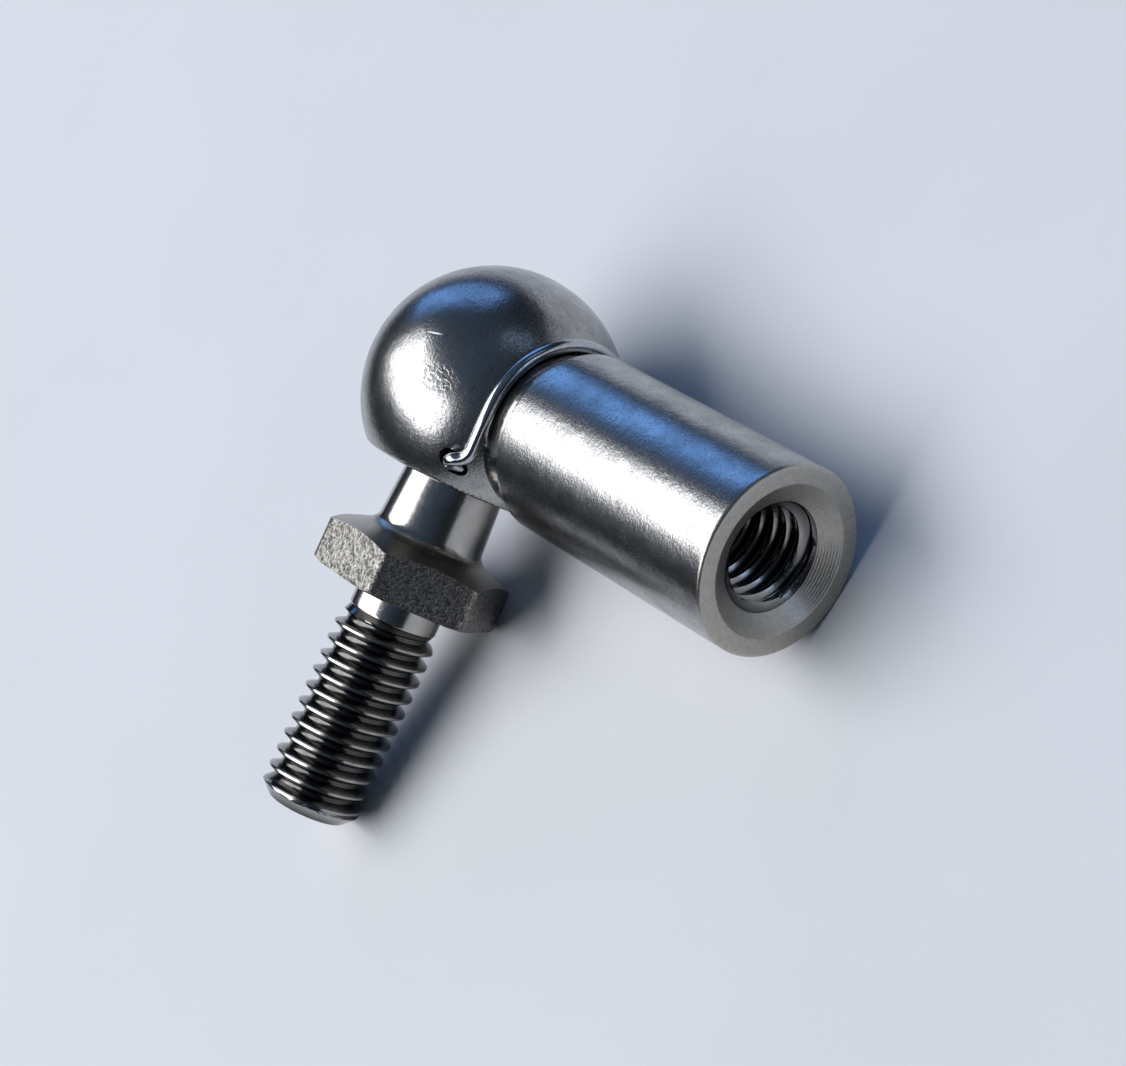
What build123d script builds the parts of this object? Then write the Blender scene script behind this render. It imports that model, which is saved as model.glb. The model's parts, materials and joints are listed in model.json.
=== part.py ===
"""Angle ball joint for an M6 control rod: a ball stud held square in a socket.

Every piece is drawn in the joint's own axes, in millimetres: the ball's centre is the
origin, the socket's shaft runs along +X and the stud leaves the mouth along -Z. At the
end the whole joint is laid down on its side, the way it comes to rest on a table.
"""

import os
from math import asin, atan2, cos, hypot, radians, sin, sqrt, tan

from build123d import *

os.makedirs("parts", exist_ok=True)

# Ball and thread, the two sizes that name the joint
ball_d = 10.0
thread_d = 6.0
thread_pitch = 1.0

# Socket: a round head, a short neck and a shaft, turned in one piece
head_d = 14.8
mouth_drop = 4.95  # ball centre down to the flat mouth of the head
neck_d = 9.3
shoulder_reach = 7.65  # ball centre to the shoulder where the shaft begins
shaft_d = 10.35
shaft_reach = 24.9  # ball centre to the end of the shaft
shoulder_break = 0.12
end_break = 0.2
bore_depth = 14.0
drill_point_deg = 118.0
countersink_d = 8.3
countersink_deg = 120.0
ball_gap = 0.1  # running gap between the ball and its seat
mouth_break = 0.15

# Stud: ball, neck, hexagon and threaded shank, turned in one piece
neck_top_d = 5.7  # where the neck leaves the ball
neck_foot_d = 6.3  # where it widens into the hexagon's cone
neck_foot_round = 0.8
hex_flats = 9.75
hex_corner_drop = 9.77  # ball centre to the top of the hexagon's corners
hex_under_drop = 12.2  # ball centre to the hexagon's underside
hex_cone_deg = 22.0
hex_under_break = 0.35  # how far the underside's bevel reaches in from the corners
hex_under_deg = 30.0
collar_d = 5.2
collar_length = 1.5
runout_d = 4.8
runout_length = 0.4
thread_allowance = 0.1  # cut threads measure this much under their nominal size
shank_length = 13.4  # hexagon's underside to the end of the thread
tip_d = 4.6

# Snap ring: a split wire ring that keeps the ball in its seat
ring_wire_d = 0.8
ring_below_deg = 24.0  # how far below the ball's equator the ring bears on it
ring_ball_gap = 0.1
ring_side_gap = 0.1
ring_spread = 0.45  # room for the ring to open when the ball is pressed in
ring_split_deg = 40.0

# Safety clip: a bent spring wire over the neck, its ends in the head's cross holes
clip_wire_d = 0.75
clip_gap = 0.03
cross_hole_d = 1.24
cross_hole_reach = 4.5  # ball centre to the holes' axis, along the shaft
cross_hole_above_mouth = 1.45  # mouth up to the holes' axis
clip_sag = 0.1  # how far the wire lies below the middle of its hole
leg_straight = 0.8
leg_foot_lean = 0.27  # how far the leg leans towards the head before it turns
leg_foot_above_end = 0.65
leg_stand_off = 0.2
end_stand_off = 0.73  # head's surface at the hole to the wire's last bend
leg_round = 3.0
foot_round = 0.9
end_round = 0.5
clip_tip_in = 0.3  # how far each tip reaches past the seat's wall

# Derived sizes
ball_r = ball_d / 2
head_r = head_d / 2
seat_r = ball_r + ball_gap
neck_r = neck_d / 2
cross_hole_drop = mouth_drop - cross_hole_above_mouth
shaft_r = shaft_d / 2
thread_r = thread_d / 2
stud_thread_r = (thread_d - thread_allowance) / 2
hex_corner_r = hex_flats / sqrt(3)
tip_drop = hex_under_drop + shank_length
tip_bevel = stud_thread_r - tip_d / 2
ring_wire_r = ring_wire_d / 2
clip_wire_r = clip_wire_d / 2

# The tapped bore: a countersink, the bore at the thread's root and a drill point
countersink_depth = (countersink_d / 2 - thread_r) / tan(radians(countersink_deg / 2))
bore_end = shaft_reach - bore_depth
drill_point = thread_r / tan(radians(drill_point_deg / 2))

with BuildPart() as socket_body:
    # The head is a ball with one flat, its mouth.
    Sphere(head_r)
    split(bisect_by=Plane.XY.offset(-mouth_drop), keep=Keep.TOP)
    # The neck and the shaft, each edge broken by a small chamfer.
    with BuildSketch(Plane.XZ):
        with BuildLine():
            Polyline(
                (0, 0),
                (0, neck_r),
                (shoulder_reach, neck_r),
                (shoulder_reach, shaft_r - shoulder_break),
                (shoulder_reach + shoulder_break, shaft_r),
                (shaft_reach - end_break, shaft_r),
                (shaft_reach, shaft_r - end_break),
                (shaft_reach, 0),
                close=True,
            )
        make_face()
    revolve(axis=Axis.X)
    # The tapped bore, drilled from the end of the shaft.
    with BuildSketch(Plane.XZ):
        with BuildLine():
            Polyline(
                (shaft_reach, 0),
                (shaft_reach, countersink_d / 2),
                (shaft_reach - countersink_depth, thread_r),
                (bore_end, thread_r),
                (bore_end - drill_point, 0),
                close=True,
            )
        make_face()
    revolve(axis=Axis.X, mode=Mode.SUBTRACT)
    # The ball's seat: a straight bore from the mouth that ends in half a ball.
    with BuildSketch(Plane.XZ):
        with BuildLine():
            CenterArc((0, 0), seat_r, 0, 90)
            Polyline(
                (0, seat_r),
                (0, -mouth_drop),
                (seat_r + mouth_break, -mouth_drop),
                (seat_r, -mouth_drop + mouth_break),
                (seat_r, 0),
            )
        make_face()
    revolve(axis=Axis.Z, mode=Mode.SUBTRACT)
    # The groove that holds the snap ring.
    ring_path_r = (ball_r + ring_ball_gap + ring_wire_r) * cos(radians(ring_below_deg))
    ring_drop = (ball_r + ring_ball_gap + ring_wire_r) * sin(radians(ring_below_deg))
    groove_height = ring_wire_d + 2 * ring_side_gap
    groove_r = ring_path_r + ring_wire_r + ring_spread
    with BuildSketch(Plane.XY.offset(-ring_drop - groove_height / 2)):
        Circle(groove_r)
    extrude(amount=groove_height, mode=Mode.SUBTRACT)
    # The cross holes, drilled from both sides of the head below the ball.
    with BuildSketch(Plane.XZ):
        with Locations((cross_hole_reach, -cross_hole_drop)):
            Circle(cross_hole_d / 2)
    extrude(amount=head_r, both=True, mode=Mode.SUBTRACT)

with BuildPart() as ball_stud:
    # The hexagon, its top turned to a cone and its underside bevelled at the corners.
    cone_rise = tan(radians(hex_cone_deg))
    cone_foot_drop = hex_corner_drop - (hex_corner_r - neck_foot_d / 2) * cone_rise
    bevel_rise = hex_under_break * tan(radians(hex_under_deg))
    with BuildSketch(Plane.XY.offset(-hex_under_drop)):
        RegularPolygon(hex_flats / 2, 6, major_radius=False)
    extrude(amount=hex_under_drop - cone_foot_drop)
    with BuildSketch(Plane.XZ):
        with BuildLine():
            Polyline(
                (0, -cone_foot_drop),
                (neck_foot_d / 2, -cone_foot_drop),
                (hex_corner_r, -hex_corner_drop),
                (hex_corner_r, -hex_under_drop + bevel_rise),
                (hex_corner_r - hex_under_break, -hex_under_drop),
                (0, -hex_under_drop),
                close=True,
            )
        make_face()
    revolve(axis=Axis.Z, mode=Mode.INTERSECT)
    # The neck, rounded into the cone.
    with BuildSketch(Plane.XZ):
        with BuildLine():
            neck_sides = FilletPolyline(
                (neck_top_d / 2, -sqrt(ball_r**2 - (neck_top_d / 2) ** 2)),
                (neck_foot_d / 2, -cone_foot_drop),
                (hex_flats / 2, -cone_foot_drop - (hex_flats - neck_foot_d) / 2 * cone_rise),
                radius=neck_foot_round,
            )
            Polyline(
                neck_sides @ 1,
                (0, -hex_corner_drop),
                (0, 0),
                (neck_top_d / 2, 0),
                neck_sides @ 0,
            )
        make_face()
    revolve(axis=Axis.Z)
    Sphere(ball_r)
    # The shank: a plain collar, the thread's runout and the thread at its outer size.
    with BuildSketch(Plane.XZ):
        with BuildLine():
            thread_drop = hex_under_drop + collar_length + runout_length
            runout_bevel = (collar_d - runout_d) / 2
            Polyline(
                (0, -hex_corner_drop),
                (collar_d / 2, -hex_corner_drop),
                (collar_d / 2, -hex_under_drop - collar_length),
                (runout_d / 2, -hex_under_drop - collar_length - runout_bevel),
                (runout_d / 2, -thread_drop),
                (stud_thread_r, -thread_drop - (stud_thread_r - runout_d / 2)),
                (stud_thread_r, -tip_drop + tip_bevel),
                (tip_d / 2, -tip_drop),
                (0, -tip_drop),
                close=True,
            )
        make_face()
    revolve(axis=Axis.Z)

with BuildPart() as snap_ring:
    # One turn of round wire less its split, which faces away from the shaft.
    split_start = radians(180 + ring_split_deg / 2)
    ring_start = Plane(
        origin=(0, 0, 0),
        x_dir=(cos(split_start), sin(split_start), 0),
        z_dir=(sin(split_start), -cos(split_start), 0),
    )
    with BuildSketch(ring_start):
        with Locations((ring_path_r, -ring_drop)):
            Circle(ring_wire_r)
    revolve(axis=Axis.Z, revolution_arc=360 - ring_split_deg)

with BuildPart() as safety_clip:
    # The wire's bow lies in the crease between the neck and the head.
    bow_r = neck_r + clip_gap + clip_wire_r
    bow_reach = sqrt((head_r + clip_gap + clip_wire_r) ** 2 - bow_r**2)
    foot_reach = bow_reach - leg_foot_lean
    end_drop = cross_hole_drop + clip_sag
    foot_drop = end_drop - leg_foot_above_end
    foot_from_ball = head_r + clip_wire_r + leg_stand_off
    foot_out = sqrt(foot_from_ball**2 - foot_reach**2 - foot_drop**2)
    hole_mouth_out = sqrt(head_r**2 - cross_hole_reach**2 - cross_hole_drop**2)
    end_out = hole_mouth_out + end_stand_off
    tip_out = sqrt(seat_r**2 - cross_hole_reach**2) - clip_tip_in
    with BuildLine() as clip_wire:
        for side in (-1, 1):
            FilletPolyline(
                (bow_reach, side * bow_r, 0),
                (bow_reach, side * bow_r, -leg_straight),
                (foot_reach, side * foot_out, -foot_drop),
                (cross_hole_reach, side * end_out, -end_drop),
                (cross_hole_reach, side * tip_out, -end_drop),
                radius=[leg_round, foot_round, end_round],
            )
        ThreePointArc((bow_reach, -bow_r, 0), (bow_reach, 0, bow_r), (bow_reach, bow_r, 0))
    with BuildSketch(Plane((cross_hole_reach, -tip_out, -end_drop), z_dir=(0, -1, 0))):
        Circle(clip_wire_r)
    sweep(path=clip_wire.wire())


def dip(reach, rim_r):
    """Angle that an arm slopes down from the head until its round rim meets the table."""
    return asin(head_r / hypot(reach, rim_r)) - atan2(rim_r, reach)


# At rest the joint lies on its side: on the head, the shaft's end and the stud's tip,
# or on the hexagon if that comes down first.
shaft_dip = min(dip(shaft_reach - end_break, shaft_r), dip(shaft_reach, shaft_r - end_break))
stud_dip = min(
    dip(tip_drop - tip_bevel, stud_thread_r),
    dip(tip_drop, tip_d / 2),
    dip(hex_under_drop, hex_flats / 2),
)
shaft_way = Vector(cos(shaft_dip), 0, -sin(shaft_dip))
stud_lean = tan(shaft_dip) * sin(stud_dip)
stud_way = Vector(-stud_lean, -sqrt(1 - stud_lean**2 - sin(stud_dip) ** 2), -sin(stud_dip))
laid_down = Plane(origin=(0, 0, head_r), x_dir=shaft_way, z_dir=-stud_way)

pieces = {
    "socket_body": socket_body,
    "ball_stud": ball_stud,
    "snap_ring": snap_ring,
    "safety_clip": safety_clip,
}
for piece in pieces.values():
    piece.part.move(laid_down.location)

# The origin is the middle of the whole joint's footprint, on the table.
footprint = Compound([piece.part for piece in pieces.values()]).bounding_box()
to_origin = Location((-footprint.center().X, -footprint.center().Y, 0))
for name, piece in pieces.items():
    piece.part.move(to_origin)
    piece.part.label = name
    export_step(piece.part, f"parts/{name}.step")

ball_centre = to_origin.position + Vector(0, 0, head_r)
print("ball centre", ball_centre)
print("shaft way", shaft_way, "stud way", stud_way)
print("shaft end", ball_centre + shaft_way * shaft_reach)
print("stud tip", ball_centre + stud_way * tip_drop)
print("hexagon underside", ball_centre + stud_way * hex_under_drop)
print("lowest point", footprint.min.Z, "size", footprint.size)
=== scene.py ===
"""Looks of an angle ball joint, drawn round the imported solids.

Every piece is worked out in the joint's own axes, in millimetres: the ball's centre is
the origin, the socket's shaft runs along +X and the stud leaves the mouth along -Z. The
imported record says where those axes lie, and each finished mesh is laid there in metres.
"""

import json
from math import atan2, ceil, cos, pi, radians, sin, sqrt, tan

import bmesh
import bpy
import numpy as np
from mathutils import Matrix, Vector


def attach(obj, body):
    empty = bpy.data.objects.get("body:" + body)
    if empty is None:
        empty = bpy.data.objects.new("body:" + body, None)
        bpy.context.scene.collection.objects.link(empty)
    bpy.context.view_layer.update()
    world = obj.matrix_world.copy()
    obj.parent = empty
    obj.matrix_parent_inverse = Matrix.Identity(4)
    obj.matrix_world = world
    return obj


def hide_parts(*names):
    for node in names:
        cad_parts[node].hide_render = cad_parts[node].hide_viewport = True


bl_info = {
    "name": "Angle Ball Joint",
    "version": (1, 0, 0),
    "blender": (4, 5, 0),
    "location": "3D View > Sidebar > Ball Joint",
    "description": "Dresses a packed angle ball joint in stainless steel, with cut threads",
    "category": "Add Mesh",
}

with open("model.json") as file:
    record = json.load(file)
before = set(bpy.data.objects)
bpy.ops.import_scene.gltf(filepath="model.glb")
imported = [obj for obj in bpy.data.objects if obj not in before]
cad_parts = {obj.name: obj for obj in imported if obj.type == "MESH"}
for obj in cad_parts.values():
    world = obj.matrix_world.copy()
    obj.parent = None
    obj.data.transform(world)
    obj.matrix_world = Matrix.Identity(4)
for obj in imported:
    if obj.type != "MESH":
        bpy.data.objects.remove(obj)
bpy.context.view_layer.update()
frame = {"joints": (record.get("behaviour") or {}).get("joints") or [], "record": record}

MM = 0.001
MERGE = 0.0004  # points closer than this, in millimetres, are one point
SHARP = radians(32)

JOINTS = {joint["name"]: joint for joint in frame["joints"]}
MOUNTS = {mount["name"]: mount for mount in frame["record"]["mounts"]}
BALL_CENTRE = np.array(JOINTS["stud_swivel"]["pos_m"]) / MM


def unit(way):
    """The way at length one: each row divided by its own length."""
    way = np.asarray(way, float)
    return way / np.linalg.norm(way, axis=-1, keepdims=True)


X_WAY = unit(MOUNTS["shaft_thread"]["axis"])
Z_WAY = -unit(JOINTS["stud_swivel"]["axis"])
Y_WAY = unit(np.cross(Z_WAY, X_WAY))
JOINT_AXES = np.column_stack([X_WAY, Y_WAY, Z_WAY])


# Properties: the sizes and colours that a user would change


def length(name, description, size_mm):
    """A length property, given in millimetres and held in metres."""
    return bpy.props.FloatProperty(
        name=name,
        description=description,
        default=size_mm * MM,
        min=0.0,
        precision=5,
        unit="LENGTH",
        subtype="DISTANCE",
    )


def angle(name, description, degrees):
    """An angle property, given in degrees and held in radians."""
    return bpy.props.FloatProperty(
        name=name,
        description=description,
        default=radians(degrees),
        precision=2,
        unit="ROTATION",
        subtype="ANGLE",
    )


def linear(shade):
    """An sRGB hex colour as linear red, green, blue and alpha."""
    parts = np.array([int(shade[i : i + 2], 16) for i in (1, 3, 5)]) / 255
    light = np.where(parts <= 0.04045, parts / 12.92, ((parts + 0.055) / 1.055) ** 2.4)
    return (*light.tolist(), 1.0)


def colour(name, description, shade):
    """A colour property with its default as an sRGB hex value."""
    return bpy.props.FloatVectorProperty(
        name=name,
        description=description,
        default=linear(shade),
        min=0.0,
        max=1.0,
        size=4,
        subtype="COLOR",
    )


class SocketSizes(bpy.types.PropertyGroup):
    """Sizes of the socket: head, neck, shaft and bore."""

    head_d: length("Head diameter", "Round head that holds the ball", 14.8)
    mouth_drop: length("Mouth drop", "Ball centre down to the flat mouth", 4.95)
    mouth_break: length("Mouth break", "Bevel inside the mouth", 0.15)
    seat_d: length("Seat diameter", "Hollow that the ball turns in", 10.2)
    neck_d: length("Neck diameter", "Neck between head and shaft", 9.3)
    shoulder_reach: length("Shoulder reach", "Ball centre to the shaft's shoulder", 7.65)
    shaft_d: length("Shaft diameter", "Outside of the shaft", 10.35)
    shaft_reach: length("Shaft reach", "Ball centre to the shaft's end", 24.9)
    edge_round: length("Edge round", "Rounding of the shaft's two rims", 0.16)
    bore_depth: length("Bore depth", "Depth of the tapped bore", 14.0)
    bore_crest_d: length("Bore crest diameter", "Inside width over the bore's crests", 4.92)
    bore_root_d: length("Bore root diameter", "Inside width at the thread's root", 6.0)
    countersink_d: length("Countersink diameter", "Width of the countersink", 8.3)
    countersink: angle("Countersink angle", "Whole angle of the countersink", 120)
    drill_point: angle("Drill point angle", "Whole angle at the bore's end", 118)
    cross_hole_d: length("Cross hole diameter", "Holes for the clip's ends", 1.24)
    cross_hole_reach: length("Cross hole reach", "Ball centre to the holes", 4.5)
    cross_hole_drop: length("Cross hole drop", "Ball centre down to the holes", 3.5)
    groove_height: length("Groove height", "Height of the snap ring's groove", 1.0)
    groove_room: length("Groove room", "Room outside the ring in its groove", 0.45)


class StudSizes(bpy.types.PropertyGroup):
    """Sizes of the ball stud: ball, neck, hexagon and threaded shank."""

    ball_d: length("Ball diameter", "Ball of the stud", 10.0)
    neck_top_d: length("Neck top diameter", "Neck where it leaves the ball", 5.7)
    neck_foot_d: length("Neck foot diameter", "Neck where it meets the hexagon", 6.3)
    neck_round: length("Neck round", "Rounding at the neck's foot", 0.8)
    hex_flats: length("Hexagon width", "Hexagon across its flats", 9.75)
    hex_corner_drop: length("Hexagon top", "Ball centre to the corners' top", 9.77)
    hex_under_drop: length("Hexagon underside", "Ball centre to the underside", 12.2)
    corner_wear: length("Corner wear", "Worn off the hexagon's corners", 0.06)
    hex_cone: angle("Hexagon cone", "Slope of the hexagon's turned top", 22)
    hex_under_break: length("Underside bevel", "Bevel in from the corners", 0.35)
    hex_under: angle("Underside bevel angle", "Slope of that bevel", 30)
    collar_d: length("Collar diameter", "Plain collar below the hexagon", 5.2)
    collar_length: length("Collar length", "Length of that collar", 1.5)
    crest_d: length("Thread diameter", "Outside width over the crests", 5.9)
    root_d: length("Root diameter", "Width at the thread's root", 4.78)
    start_d: length("Thread start diameter", "Width where the turns begin", 4.9)
    start_length: length("Thread start", "Length over which they rise", 0.95)
    tip_drop: length("Tip drop", "Ball centre to the stud's end", 25.6)
    tip_d: length("Tip diameter", "Flat end of the stud", 4.6)
    tip_fill: bpy.props.FloatProperty(
        name="Tip fill", description="Slope at which the last root rises", default=1.1
    )
    crest_phase: length("Crest place", "Drop of one crest over the shaft's side", 14.66)


class WireSizes(bpy.types.PropertyGroup):
    """Sizes of the two spring wires and the thread pitch that both threads share."""

    pitch: length("Thread pitch", "One turn of either thread", 1.0)
    clip_d: length("Clip wire", "Wire of the safety clip", 0.75)
    clip_gap: length("Clip gap", "Clip's bow to the neck and head", 0.03)
    clip_sag: length("Clip sag", "Wire below the middle of its hole", 0.1)
    leg_straight: length("Leg straight", "Straight start of each leg", 0.8)
    leg_lean: length("Leg lean", "Lean towards the head", 0.27)
    leg_foot: length("Leg foot", "Foot of the leg above its end", 0.65)
    leg_stand_off: length("Leg stand-off", "Leg's foot to the head", 0.2)
    end_stand_off: length("End stand-off", "Head to the last bend", 0.73)
    leg_round: length("Leg round", "Bend at the leg's start", 3.0)
    foot_round: length("Foot round", "Bend at the leg's foot", 0.9)
    end_round: length("End round", "Bend into the hole", 0.5)
    tip_in: length("Tip reach", "Tip past the seat's wall", 0.3)
    ring_d: length("Ring wire", "Wire of the snap ring", 0.8)
    ring_gap: length("Ring gap", "Ring to the ball", 0.1)
    ring_below: angle("Ring place", "Ring below the ball's equator", 24)
    ring_split: angle("Ring split", "Opening of the ring", 40)


class Finishes(bpy.types.PropertyGroup):
    """Colours of the finishes, the table and the lights."""

    satin: colour("Satin steel", "Tumbled head and shaft", "#acacab")
    bright: colour("Turned steel", "Bright turned necks and collar", "#b2b0ac")
    faced: colour("Faced steel", "Shaft's end, turned with a feed", "#b0aca4")
    grained: colour("Grained steel", "Drawn faces of the hexagon", "#868480")
    thread: colour("Thread steel", "Rolled and cut turns", "#a8a6a3")
    wire: colour("Spring wire", "Clip and snap ring", "#b6b9bd")
    table: colour("Table", "Pale table that the joint lies on", "#d8dadd")
    room: colour("Room", "Dim room at the table's level", "#272c32")
    ceiling: colour("Ceiling", "Paler ceiling over the table", "#4a5b70")
    window: colour("Window", "Large soft window", "#fdfdff")
    doorway: colour("Doorway", "Cool light through a doorway", "#b4cdf5")
    sky: colour("Sky", "Patch of blue sky in the room", "#6e9fe6")


class StagePlace(bpy.types.PropertyGroup):
    """Where the camera stands and how it is turned."""

    azimuth: angle("Azimuth", "Camera round the joint, 90 looks along -X", 88.83)
    elevation: angle("Elevation", "Camera above the table's level", 38.48)
    roll: angle("Roll", "Camera turned about its own line of sight", -56.84)
    distance: length("Distance", "Camera to the point that it looks at", 150.61)
    aim_x: length("Aim along X", "Point looked at, from the middle", 2.85)
    aim_y: length("Aim along Y", "Point looked at, from the middle", 4.69)
    aim_z: length("Aim height", "Point looked at, above the table", 7.4)
    lens: bpy.props.FloatProperty(
        name="Lens", description="Focal length in millimetres", default=91.5, unit="CAMERA"
    )


def sizes_mm(group):
    """The group's values as plain numbers, its lengths turned to millimetres."""
    scene_group = getattr(bpy.context.scene, group)
    values = {}
    for name, prop in scene_group.bl_rna.properties.items():
        if prop.type == "FLOAT" and not prop.is_array:
            scale = 1 / MM if prop.unit == "LENGTH" else 1.0
            values[name] = getattr(scene_group, name) * scale
    return values


# Shapes as whole arrays


def rounded(points, radii, step=0.25):
    """Samples of a run of straights whose inner corners are rounded off.

    Each corner becomes the arc that touches both its straights. The arc starts
    radius * tan(turn / 2) before the corner, and its centre lies square to the first
    straight, on the side that the second one turns to.
    """
    points = [np.array(point, float) for point in points]
    samples = [points[0][None]]
    start = points[0]

    def straight(end):
        count = max(1, ceil(np.linalg.norm(end - start) / step))
        share = np.linspace(0, 1, count + 1)[1:, None]
        samples.append(start + (end - start) * share)

    for before, corner, after, radius in zip(points, points[1:], points[2:], radii):
        way_in, way_out = unit(corner - before), unit(after - corner)
        turn = np.arccos(np.clip(way_in @ way_out, -1, 1))
        end = corner - way_in * radius * tan(turn / 2)
        straight(end)
        if radius:
            side = unit(way_out - way_in * (way_in @ way_out))
            turned = np.linspace(0, turn, max(4, ceil(turn / radians(10))))[1:, None]
            bend = side * (1 - np.cos(turned)) + way_in * np.sin(turned)
            samples.append(end + radius * bend)
            end = samples[-1][-1]
        start = end
    straight(points[-1])
    return np.concatenate(samples)


def arc(radius, start, end, count):
    """Samples of an arc about the origin, as along = r cos and out = r sin."""
    turned = np.linspace(start, end, count)
    return np.column_stack([radius * np.cos(turned), radius * np.sin(turned)])


def around(columns):
    """Angles of the columns, with the last one lying on the first."""
    return np.linspace(0, 2 * pi, columns + 1)


def sweep_round(along, out, columns, axes):
    """Points of a turned form: along the axis by `along`, off it by `out`.

    The three axes are the turning axis and the two that the angle runs between, so a
    point is axis * along + (first * cos + second * sin) * out.
    """
    turned = around(columns)[None, :, None]
    axis, first, second = (np.array(way, float) for way in axes)
    spoke = first * np.cos(turned) + second * np.sin(turned)
    return axis * along[..., None] + spoke * out[..., None]


def spread(rows, columns):
    """A profile's rows as two grids, the same in every column."""
    ones = np.ones(columns + 1)
    return rows[:, :1] * ones, rows[:, 1:] * ones


def thread_out(phase, crest, root, pitch):
    """Distance off the axis of a sixty degree thread at a phase counted in turns.

    From the middle of a crest the surface stays level for a sixteenth of the pitch,
    falls as a straight flank and stays level at the root. Taking a little of a sine
    off the fall rounds both of its ends.
    """
    off_crest = np.abs(phase - np.round(phase)) * pitch
    crest_half = pitch / 16
    flank = abs(crest - root) * tan(radians(30))
    fall = np.clip((off_crest - crest_half) / flank, 0, 1)
    fall = fall - 0.3 * np.sin(2 * pi * fall) / (2 * pi)
    return crest + (root - crest) * fall


def thread_grid(start, end, place, pitch, columns, hand, rows=16):
    """Places along the axis of a thread's rows, which climb with the turns.

    Row by row the place grows by a share of the pitch, and round the axis it changes
    by one pitch a turn. Rows beyond either end are held at that end. The second grid
    is the phase, the place less the crest's place at that angle, in turns.
    """
    climb = hand * around(columns)[None, :] / (2 * pi)
    first = np.floor((start - place) / pitch) - 1
    last = np.ceil((end - place) / pitch) + 1
    turns = np.arange(first * rows, last * rows + 1)[:, None] / rows
    along = np.clip(place + (turns + climb) * pitch, start, end)
    return along, (along - place) / pitch - climb


def bmesh_clean(mesh, split=False):
    """Merges a mesh's doubles, drops what that leaves flat and turns its faces out.

    Faces with many corners, which a boolean leaves, can be split into triangles first.
    """
    work = bmesh.new()
    work.from_mesh(mesh)
    if split:
        many = [face for face in work.faces if len(face.verts) > 4]
        bmesh.ops.triangulate(work, faces=many)
    bmesh.ops.remove_doubles(work, verts=work.verts, dist=MERGE)
    bmesh.ops.dissolve_degenerate(work, edges=work.edges, dist=MERGE)
    bmesh.ops.recalc_face_normals(work, faces=work.faces)
    work.to_mesh(mesh)
    work.free()


def grid_mesh(name, points):
    """A mesh from a grid of points, with its seam, its poles and its doubles merged."""
    rows, columns = points.shape[:2]
    corner = np.arange((rows - 1) * columns).reshape(rows - 1, columns)[:, :-1]
    faces = np.stack([corner, corner + 1, corner + columns + 1, corner + columns], -1)
    mesh = bpy.data.meshes.new(name)
    mesh.from_pydata(points.reshape(-1, 3), [], faces.reshape(-1, 4))
    bmesh_clean(mesh)
    return mesh


def tube(path, radius, reference, sides=32, end_share=0.86):
    """Points of a round wire along a path, closed by a flat cut at each end.

    The ring at each sample lies square to the path: one of its ways is the path's way
    crossed with a fixed reference, the other is that one crossed with the path's way.
    The last ring at each end is a little narrower, as a cut wire's worn rim is, and a
    ring of no width closes it in the same plane, so the wire keeps its length.
    """
    way = unit(np.gradient(path, axis=0))
    path = np.concatenate([path[:1], path, path[-1:]])
    way = np.concatenate([way[:1], way, way[-1:]])
    share = np.ones(len(path))
    share[[1, -2]] = end_share
    share[[0, -1]] = 0.0
    side = unit(np.cross(way, reference))
    rise = np.cross(side, way)
    turned = around(sides)[None, :, None]
    spoke = side[:, None] * np.cos(turned) + rise[:, None] * np.sin(turned)
    return path[:, None] + spoke * (radius * share)[:, None, None]


def centres_of(mesh):
    """Centre and normal of every face, as two arrays."""
    count = len(mesh.polygons)
    centre, normal = np.empty(count * 3), np.empty(count * 3)
    mesh.polygons.foreach_get("center", centre)
    mesh.polygons.foreach_get("normal", normal)
    return centre.reshape(-1, 3), normal.reshape(-1, 3)


def lay_down(mesh):
    """Moves a mesh from the joint's axes, in millimetres, to its place in metres."""
    points = np.empty(len(mesh.vertices) * 3, np.float32)
    mesh.vertices.foreach_get("co", points)
    points = (BALL_CENTRE + points.reshape(-1, 3) @ JOINT_AXES.T) * MM
    mesh.vertices.foreach_set("co", points.astype(np.float32).ravel())
    mesh.update()


def add_piece(name, mesh, materials, choice, body, node):
    """Finishes a mesh as a piece of the joint: materials, sharp edges, place and body."""
    for material in materials:
        mesh.materials.append(material)
    mesh.polygons.foreach_set("material_index", choice.astype(np.int32))
    mesh.shade_smooth()
    mesh.set_sharp_from_angle(angle=SHARP)
    lay_down(mesh)
    piece = bpy.data.objects.new(name, mesh)
    bpy.context.scene.collection.objects.link(piece)
    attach(piece, body)
    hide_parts(node)
    return piece


def less(mesh, *cutters):
    """The mesh less the cutters, by Blender's exact boolean."""
    stock = bpy.data.objects.new("stock", mesh)
    tools = [bpy.data.objects.new("cutter", cutter) for cutter in cutters]
    for item in (stock, *tools):
        bpy.context.scene.collection.objects.link(item)
    for tool in tools:
        cut = stock.modifiers.new("cut", "BOOLEAN")
        cut.operation = "DIFFERENCE"
        cut.solver = "EXACT"
        cut.object = tool
    drawn = stock.evaluated_get(bpy.context.evaluated_depsgraph_get())
    result = bpy.data.meshes.new_from_object(drawn)
    for item in (stock, *tools):
        bpy.data.objects.remove(item)
    bmesh_clean(result, split=True)
    return result


# The socket


SHAFT_AXES = ((1, 0, 0), (0, 1, 0), (0, 0, 1))
MOUTH_AXES = ((0, 0, -1), (1, 0, 0), (0, -1, 0))
CROSS_AXES = ((0, 1, 0), (0, 0, 1), (1, 0, 0))

# Small edges of the socket, in millimetres
NECK_FOOT_ROUND = 0.12
END_EDGE_SHARE = 1.3  # the shaft's end edge against the shoulder's
SINK_RIM_ROUND = 0.05
RIM_BREAK = 0.07
RIM_SLOPE = radians(24)

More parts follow.
